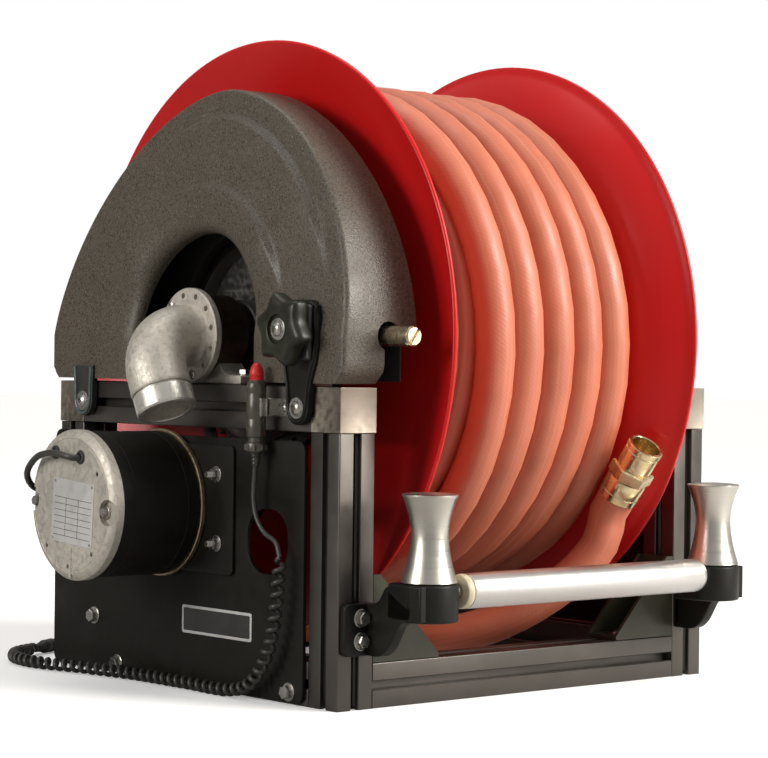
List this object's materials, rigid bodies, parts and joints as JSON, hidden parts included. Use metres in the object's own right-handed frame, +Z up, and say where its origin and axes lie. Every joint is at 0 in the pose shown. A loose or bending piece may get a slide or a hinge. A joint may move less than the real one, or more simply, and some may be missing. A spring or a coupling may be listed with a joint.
{
  "type": "fire hose reel",
  "caption": "Motor-driven fire hose reel on a slotted aluminium frame, with flared drum discs, wound rubber hose, front guide rollers, gear cover, hand crank and pendant switch.",
  "frame": {"origin": "middle of the footprint at floor height, without the free cords", "axes": "+X along the drum's axis away from the motor, +Z up; the hose pays out over the rollers at -Y and the drive side faces -X"},
  "size_m": [0.5913, 0.6088, 0.606],
  "materials": {
    "anodised": "satin anodised extrusion",
    "cast_aluminium": "cast, satin",
    "polished": "turned and polished",
    "black_steel": "black powder coat",
    "moulded_plastic": "pebbled dark grey",
    "black_plastic": "fine grain",
    "red_paint": "gloss red",
    "hose_rubber": "smooth salmon-red jacket",
    "brass": "turned",
    "bronze": "dark cast bronze",
    "steel": "machined",
    "button_red": "soft red",
    "cord_rubber": "black"
  },
  "bodies": {
    "frame": {"base_rail_front": "anodised", "base_rail_left": "anodised", "base_rail_rear": "anodised", "base_rail_right": "anodised", "bearing_left": "steel", "bearing_right": "steel", "brake_housing": "black_plastic", "corner_cap_front_left": "cast_aluminium", "corner_cap_front_right": "cast_aluminium", "corner_cap_rear_left": "cast_aluminium", "corner_cap_rear_right": "cast_aluminium", "crank_bearing": "cast_aluminium", "drive_chain": "steel", "gear_cover": "moulded_plastic", "gear_head": "cast_aluminium", "guide_pin": "steel", "gusset_front_left": "black_steel", "gusset_front_right": "black_steel", "gusset_rear_left": "black_steel", "gusset_rear_right": "black_steel", "motor_can": "black_steel", "motor_end_bell": "cast_aluminium", "motor_flange": "cast_aluminium", "motor_lead": "cord_rubber", "motor_plate": "black_steel", "pillow_block_left": "cast_aluminium", "pillow_block_right": "cast_aluminium", "post_front_left": "anodised", "post_front_right": "anodised", "post_rear_left": "anodised", "post_rear_right": "anodised", "roller_arm_left": "black_steel", "roller_arm_right": "black_steel", "side_plate_left": "black_steel", "side_plate_right": "black_steel", "switch_body": "black_plastic", "switch_clip": "cast_aluminium", "switch_coil": "cord_rubber", "switch_lead": "cord_rubber", "switch_plug": "black_plastic", "swivel_body": "bronze", "top_rail_left": "anodised", "top_rail_right": "anodised"},
    "drum": {"drum_disc_left": "red_paint", "drum_disc_right": "red_paint", "drum_core": "red_paint", "drum_shaft": "steel", "drum_sprocket": "steel", "hose_winding": "hose_rubber", "hose_tail": "hose_rubber", "hose_coupling": "brass"},
    "motor_shaft": {"motor_pinion": "steel"},
    "crank": {"crank_shaft": "brass"},
    "inlet": {"inlet_elbow": "cast_aluminium"},
    "knob": {"brake_knob": "black_plastic"},
    "pad": {"brake_pad": "cord_rubber"},
    "button": {"switch_button": "button_red"},
    "guide": {"guide_roller": "polished"},
    "spool_left": {"spool_left": "polished"},
    "spool_right": {"spool_right": "polished"}
  },
  "joints": [
    {"name": "drum_spin", "type": "hinge", "parent": "frame", "child": "drum", "pos_m": [0.05285, 0.01225, 0.326], "axis": [1, 0, 0], "continuous": true},
    {"name": "motor_spin", "type": "hinge", "parent": "frame", "child": "motor_shaft", "pos_m": [-0.09315, 0.04525, 0.1695], "axis": [1, 0, 0], "continuous": true},
    {"name": "crank_spin", "type": "hinge", "parent": "frame", "child": "crank", "pos_m": [-0.13215, -0.15, 0.326], "axis": [0, 1, 0], "continuous": true},
    {"name": "inlet_swivel", "type": "hinge", "parent": "frame", "child": "inlet", "pos_m": [-0.175, 0.01225, 0.326], "axis": [1, 0, 0], "continuous": true},
    {"name": "brake_turn", "type": "hinge", "parent": "frame", "child": "knob", "pos_m": [-0.195, -0.15575, 0.331], "axis": [1, 0, 0], "range_deg": [0, 360]},
    {"name": "pad_slide", "type": "slide", "parent": "frame", "child": "pad", "axis": [-1, 0, 0], "range_m": [0, 0.0021]},
    {"name": "button_press", "type": "slide", "parent": "frame", "child": "button", "axis": [0, 0, -1], "range_m": [0, 0.004], "stiffness_N_per_m": 400, "springref_m": -0.0005},
    {"name": "guide_spin", "type": "hinge", "parent": "frame", "child": "guide", "pos_m": [0.05285, -0.27375, 0.106], "axis": [1, 0, 0], "continuous": true},
    {"name": "spool_left_spin", "type": "hinge", "parent": "frame", "child": "spool_left", "pos_m": [-0.12715, -0.26675, 0.15], "axis": [0, 0, 1], "continuous": true},
    {"name": "spool_right_spin", "type": "hinge", "parent": "frame", "child": "spool_right", "pos_m": [0.23285, -0.26675, 0.15], "axis": [0, 0, 1], "continuous": true}
  ],
  "couplings": [
    {"joint": "motor_spin", "follows": "drum_spin", "ratio": 5},
    {"joint": "crank_spin", "follows": "drum_spin", "ratio": 4.1818},
    {"joint": "pad_slide", "follows": "brake_turn", "m_per_rad": 0.00031831}
  ]
}
